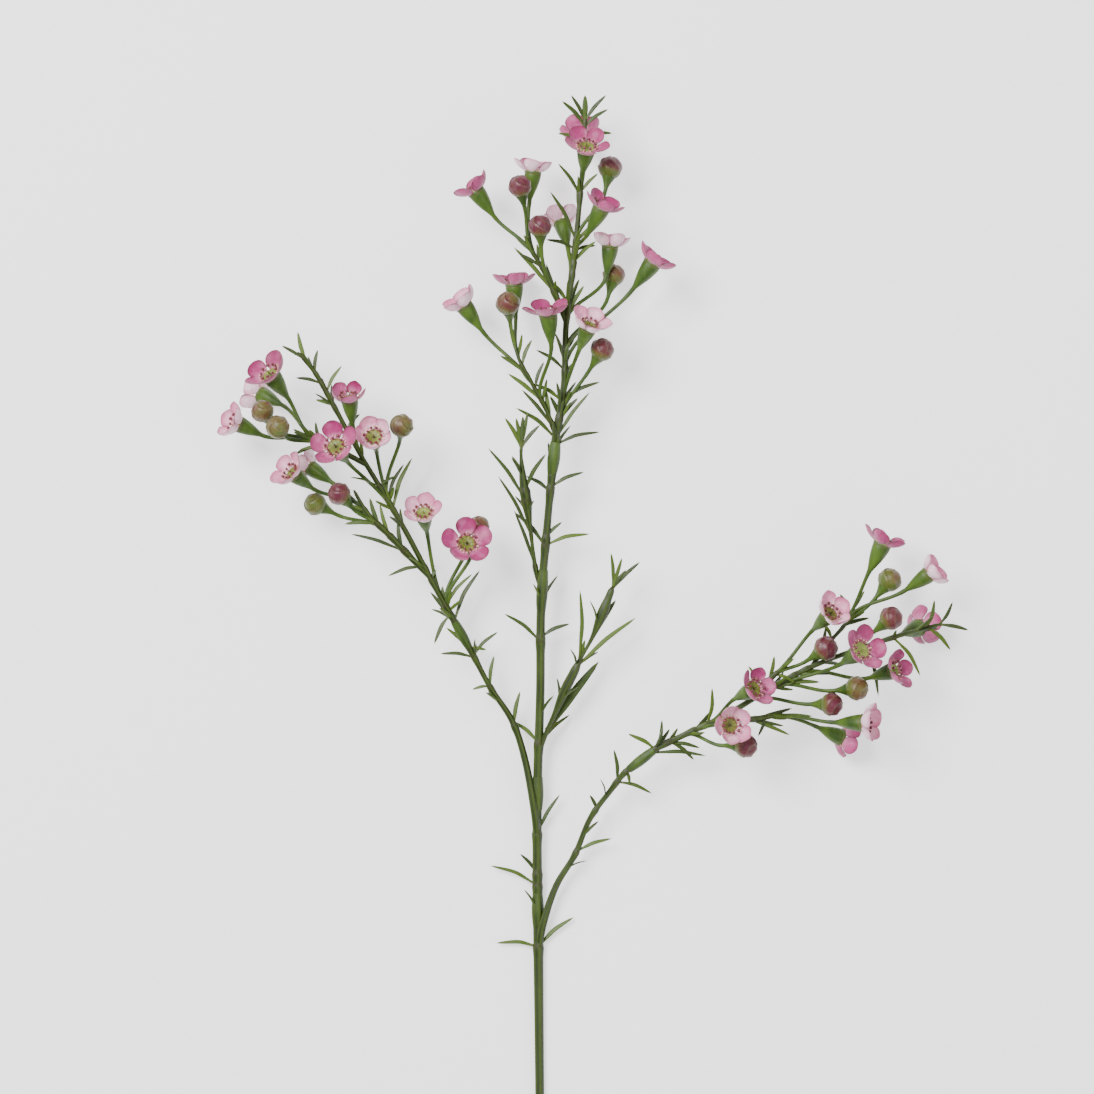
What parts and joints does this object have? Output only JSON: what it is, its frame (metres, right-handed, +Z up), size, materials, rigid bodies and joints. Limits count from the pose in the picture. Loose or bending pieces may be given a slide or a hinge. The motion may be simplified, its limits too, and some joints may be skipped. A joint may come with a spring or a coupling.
{
  "type": "waxflower stem",
  "caption": "Cut branching stem with fine needle leaves, small five-petalled blooms on green cups and round buds, lying flat on a surface.",
  "frame": {"origin": "on the surface that the stem lies on, under the middle of its box", "axes": "+Y from the cut end to the tip, +X to the right in the view from above, +Z up from the surface"},
  "size_m": [0.3754, 0.599, 0.0633],
  "materials": {
    "leaf_green": "satin green stem, leaves, pedicels and cups, lighter at the cups",
    "petal_deep": "soft waxy deep pink, darker at the edge",
    "petal_pale": "soft waxy pale pink, nearly white at the heart",
    "bud_maroon": "satin maroon over olive green"
  },
  "bodies": {
    "root": {"main_stem": "leaf_green", "left_branch": "leaf_green", "right_branch": "leaf_green", "left_sprig": "leaf_green", "right_sprig": "leaf_green", "crown_bloom_01": "petal_deep", "crown_bloom_02": "petal_deep", "crown_bloom_03": "petal_deep", "crown_bloom_04": "petal_pale", "crown_bloom_05": "petal_deep", "crown_bloom_06": "petal_pale", "crown_bloom_07": "petal_pale", "crown_bloom_08": "petal_deep", "crown_bloom_09": "petal_deep", "crown_bloom_10": "petal_pale", "crown_bloom_11": "petal_deep", "crown_bloom_12": "petal_pale", "left_bloom_01": "petal_deep", "left_bloom_02": "petal_pale", "left_bloom_03": "petal_pale", "left_bloom_04": "petal_deep", "left_bloom_05": "petal_deep", "left_bloom_06": "petal_pale", "left_bloom_07": "petal_pale", "left_bloom_08": "petal_pale", "left_bloom_09": "petal_pale", "left_bloom_10": "petal_deep", "right_bloom_01": "petal_deep", "right_bloom_02": "petal_pale", "right_bloom_03": "petal_pale", "right_bloom_04": "petal_deep", "right_bloom_05": "petal_deep", "right_bloom_06": "petal_deep", "right_bloom_07": "petal_deep", "right_bloom_08": "petal_pale", "right_bloom_09": "petal_pale", "right_bloom_10": "petal_deep", "crown_bud_01": "bud_maroon", "crown_bud_02": "bud_maroon", "crown_bud_03": "bud_maroon", "crown_bud_04": "bud_maroon", "crown_bud_05": "bud_maroon", "crown_bud_06": "bud_maroon", "left_bud_01": "bud_maroon", "left_bud_02": "bud_maroon", "left_bud_03": "bud_maroon", "left_bud_04": "bud_maroon", "left_bud_05": "bud_maroon", "left_bud_06": "bud_maroon", "right_bud_01": "bud_maroon", "right_bud_02": "bud_maroon", "right_bud_03": "bud_maroon", "right_bud_04": "bud_maroon", "right_bud_05": "bud_maroon", "right_bud_06": "bud_maroon"}
  },
  "joints": []
}
